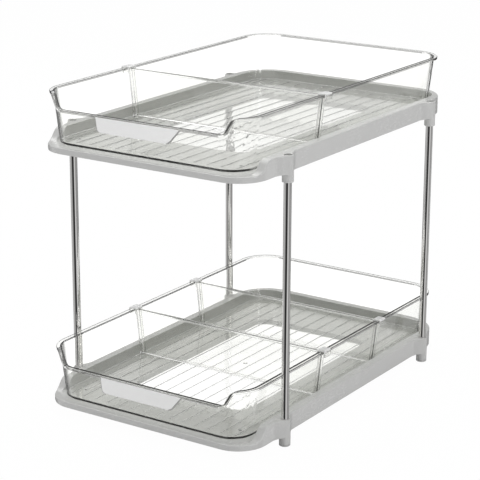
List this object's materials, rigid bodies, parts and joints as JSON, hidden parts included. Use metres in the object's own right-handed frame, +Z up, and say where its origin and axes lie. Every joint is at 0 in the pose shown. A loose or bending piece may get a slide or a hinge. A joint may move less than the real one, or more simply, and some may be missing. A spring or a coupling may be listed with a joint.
{
  "type": "under sink organizer",
  "caption": "Tiered pull-out organizer: grey moulded frames on chrome tubes, clear drawers with hook-over dividers.",
  "frame": {"origin": "on the floor, below the middle of the whole organizer, on the plane of the four feet", "axes": "+Z up, +X to the right seen from the front, -Y to the front, where the drawers' pulls are"},
  "size_m": [0.2366, 0.3608, 0.2971],
  "materials": {
    "frame_plastic": "satin gloss moulded plastic",
    "clear_plastic": "clear polished moulded plastic",
    "chrome": "polished chrome plate",
    "foot_plastic": "moulded plastic"
  },
  "bodies": {
    "stand": {"lower_frame": "frame_plastic", "upper_frame": "frame_plastic", "front_left_post": "chrome", "front_right_post": "chrome", "rear_left_post": "chrome", "rear_right_post": "chrome", "front_left_foot": "foot_plastic", "front_right_foot": "foot_plastic", "rear_left_foot": "foot_plastic", "rear_right_foot": "foot_plastic"},
    "lower_bin": {"lower_drawer": "clear_plastic"},
    "upper_bin": {"upper_drawer": "clear_plastic"},
    "lower_front_partition": {"lower_front_divider": "clear_plastic"},
    "lower_rear_partition": {"lower_rear_divider": "clear_plastic"},
    "upper_partition": {"upper_divider": "clear_plastic"}
  },
  "joints": [
    {"name": "lower_drawer_slide", "type": "slide", "parent": "stand", "child": "lower_bin", "axis": [0, -1, 0], "range_m": [0, 0.22]},
    {"name": "upper_drawer_slide", "type": "slide", "parent": "stand", "child": "upper_bin", "axis": [0, -1, 0], "range_m": [0, 0.22]},
    {"name": "lower_front_divider_lift", "type": "slide", "parent": "lower_bin", "child": "lower_front_partition", "axis": [0, 0, 1], "range_m": [0, 0.06]},
    {"name": "lower_rear_divider_lift", "type": "slide", "parent": "lower_bin", "child": "lower_rear_partition", "axis": [0, 0, 1], "range_m": [0, 0.06]},
    {"name": "upper_divider_lift", "type": "slide", "parent": "upper_bin", "child": "upper_partition", "axis": [0, 0, 1], "range_m": [0, 0.06]}
  ]
}
